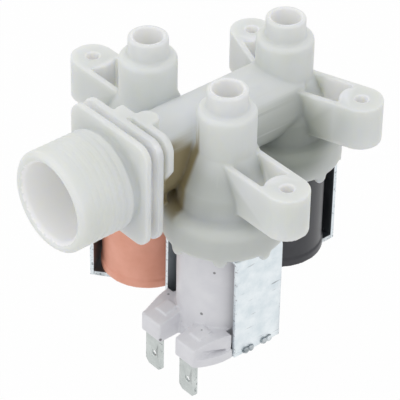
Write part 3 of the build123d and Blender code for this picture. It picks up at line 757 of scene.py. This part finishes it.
def basket_tree():
    tree, sizes = new_geometry_tree("strainer_basket", BASKET)
    top = add(tree, "ShaderNodeCombineXYZ", {"X": sizes["Top"], "Z": sizes["Top radius"]}).outputs["Vector"]
    end = add(tree, "ShaderNodeCombineXYZ", {"X": sizes["End"], "Z": sizes["End radius"]}).outputs["Vector"]
    line = add(tree, "GeometryNodeCurvePrimitiveLine", {"Start": top, "End": end}).outputs["Curve"]
    index = add(tree, "GeometryNodeInputIndex").outputs["Index"]
    made = [sizes["Geometry"]]
    for count, thickness, sides in (("Ribs", "Rib radius", 12), ("Wires", "Wire radius", 6)):
        section = add(tree, "GeometryNodeCurvePrimitiveCircle", {
            "Resolution": sides, "Radius": sizes[thickness],
        })
        bar = add(tree, "GeometryNodeCurveToMesh", {
            "Curve": line, "Profile Curve": section.outputs["Curve"], "Fill Caps": True,
        }).outputs["Mesh"]
        step = add(tree, "ShaderNodeMath", {
            0: 2 * math.pi, 1: sizes[count],
        }, operation="DIVIDE").outputs["Value"]
        angle = add(tree, "ShaderNodeMath", {0: index, 1: step}, operation="MULTIPLY").outputs["Value"]
        turn = add(tree, "ShaderNodeCombineXYZ", {"X": angle}).outputs["Vector"]
        places = add(tree, "GeometryNodePoints", {"Count": sizes[count]}).outputs["Points"]
        made.append(add(tree, "GeometryNodeInstanceOnPoints", {
            "Points": places, "Instance": bar, "Rotation": turn,
        }).outputs["Instances"])
    share = add(tree, "ShaderNodeMath", {0: index, 1: sizes["Hoops"]}, operation="DIVIDE").outputs["Value"]
    spot = add(tree, "ShaderNodeMix", {"Factor": share, "A": top, "B": end}, data_type="VECTOR")
    axis_x = add(tree, "ShaderNodeSeparateXYZ", {"Vector": spot.outputs["Result"]}).outputs
    hoop = add(tree, "GeometryNodeCurvePrimitiveCircle", {"Resolution": 64, "Radius": 1.0}).outputs["Curve"]
    on_axis = add(tree, "ShaderNodeCombineXYZ", {"X": axis_x["X"]}).outputs["Vector"]
    rows = add(tree, "GeometryNodePoints", {
        "Count": sizes["Hoops"], "Position": on_axis,
    }).outputs["Points"]
    hoops = add(tree, "GeometryNodeInstanceOnPoints", {
        "Points": rows, "Instance": hoop, "Rotation": (0.0, math.pi / 2, 0.0), "Scale": axis_x["Z"],
    }).outputs["Instances"]
    hoops = add(tree, "GeometryNodeRealizeInstances", {"Geometry": hoops}).outputs["Geometry"]
    section = add(tree, "GeometryNodeCurvePrimitiveCircle", {"Resolution": 6, "Radius": sizes["Wire radius"]})
    made.append(add(tree, "GeometryNodeCurveToMesh", {
        "Curve": hoops, "Profile Curve": section.outputs["Curve"],
    }).outputs["Mesh"])
    join = add(tree, "GeometryNodeJoinGeometry")
    for geometry in made:
        tree.links.new(geometry, join.inputs["Geometry"])
    end_geometry_tree(tree, join.outputs["Geometry"], ACETAL)
    return tree


run_tree(basket, basket_tree(), BASKET)
settle(basket, ACETAL, "inlet_strainer")
basket.data.set_sharp_from_angle(angle=math.radians(40))

# %% [markdown]
# ## Inner pieces
# The rest shows only when the valve is opened up. These solids are already right, so they keep
# their shapes and only get their real materials.

# %% Dress the solids that stay
INNER = {
    "diaphragm": RUBBER, "diaphragm_core": ACETAL, "guide_tube": ACETAL, "plunger": STEEL,
    "plunger_tip": RUBBER, "plunger_spring": WIRE, "pole_bush": STEEL,
}


def dress(node, material):
    piece = nodes[node]
    if piece.material_slots:
        for slot in piece.material_slots:
            slot.material = material
    else:
        piece.data.materials.append(material)


dress("flow_washer", RUBBER)
for colour in COLOURS:
    for part, material in INNER.items():
        dress(f"{colour}_{part}", material)
print("inner solids dressed:", 1 + len(COLOURS) * len(INNER))

# %% [markdown]
# ## Light and ground
# The picture is a cut-out on pure white with soft light from above. The world and the floor show
# white to the camera and in reflections, while a dimmer value lights the object, and two wide
# panels add the shape. The floor still takes a faint shadow, and its underside is clear, so that
# the part can be looked at from below.

# %% Set the world, the floor and the lamps
WORLD_LIGHT = 0.79
FLOOR_DROP = 40 * MM
FLOOR_SIDE = 4.0
FLOOR_GLOW = 0.97

world = bpy.data.worlds.new("white_room")
scene.world = world
world.use_nodes = True
sky = world.node_tree
sky.nodes.clear()
ray = add(sky, "ShaderNodeLightPath").outputs
seen = add(sky, "ShaderNodeMath", {0: ray["Is Camera Ray"], 1: ray["Is Glossy Ray"]}, operation="MAXIMUM")
seen = add(sky, "ShaderNodeMath", {
    0: seen.outputs["Value"], 1: ray["Is Transmission Ray"],
}, operation="MAXIMUM")
level = add(sky, "ShaderNodeMapRange", {"Value": seen.outputs["Value"], "To Min": WORLD_LIGHT, "To Max": 1.0})
light = add(sky, "ShaderNodeBackground", {"Color": linear("FFFFFF"), "Strength": level.outputs["Result"]})
add(sky, "ShaderNodeOutputWorld", {"Surface": light.outputs["Background"]})

floor_mesh = bpy.data.meshes.new("pale_floor")
half, floor_z = FLOOR_SIDE / 2, cad_low.z - FLOOR_DROP
corners = [(-half, -half, floor_z), (half, -half, floor_z), (half, half, floor_z), (-half, half, floor_z)]
floor_mesh.from_pydata(corners, [], [(0, 1, 2, 3)])
floor = bpy.data.objects.new("pale_floor", floor_mesh)
scene.collection.objects.link(floor)
paper = bpy.data.materials.new("white_paper")
paper.use_nodes = True
tree = paper.node_tree
tree.nodes.clear()
ray = add(tree, "ShaderNodeLightPath").outputs
seen = add(tree, "ShaderNodeMath", {0: ray["Is Camera Ray"], 1: ray["Is Glossy Ray"]}, operation="MAXIMUM")
share = add(tree, "ShaderNodeMath", {0: seen.outputs["Value"], 1: FLOOR_GLOW}, operation="MULTIPLY")
matt = add(tree, "ShaderNodeBsdfDiffuse", {"Color": linear("F4F4F4")})
glow = add(tree, "ShaderNodeEmission", {"Color": linear("FFFFFF"), "Strength": 1.0})
mixed = add(tree, "ShaderNodeMixShader", {
    0: share.outputs["Value"], 1: matt.outputs["BSDF"], 2: glow.outputs["Emission"],
})
under = add(tree, "ShaderNodeNewGeometry").outputs["Backfacing"]
clear = add(tree, "ShaderNodeBsdfTransparent").outputs["BSDF"]
sided = add(tree, "ShaderNodeMixShader", {0: under, 1: mixed.outputs["Shader"], 2: clear})
add(tree, "ShaderNodeOutputMaterial", {"Surface": sided.outputs["Shader"]})
floor.data.materials.append(paper)


def panel(name, place, aim, side, power):
    """A square soft light at a place in metres, aimed at a point."""
    lamp = bpy.data.lights.new(name, "AREA")
    lamp.shape = "SQUARE"
    lamp.size = side
    lamp.energy = power
    lamp_object = bpy.data.objects.new(name, lamp)
    turn = (Vector(aim) - Vector(place)).to_track_quat("-Z", "Y").to_matrix()
    lamp_object.matrix_world = Matrix.Translation(place) @ turn.to_4x4()
    scene.collection.objects.link(lamp_object)


panel("top_panel", Vector((0.15, 0.25, 0.75)), VIEW_AIM, 0.6, 0.4)
panel("left_panel", Vector((0.6, -0.25, 0.45)), VIEW_AIM, 0.5, 0.7)
scene.view_settings.view_transform = "Standard"
print("floor at mm:", round(floor_z / MM, 1))
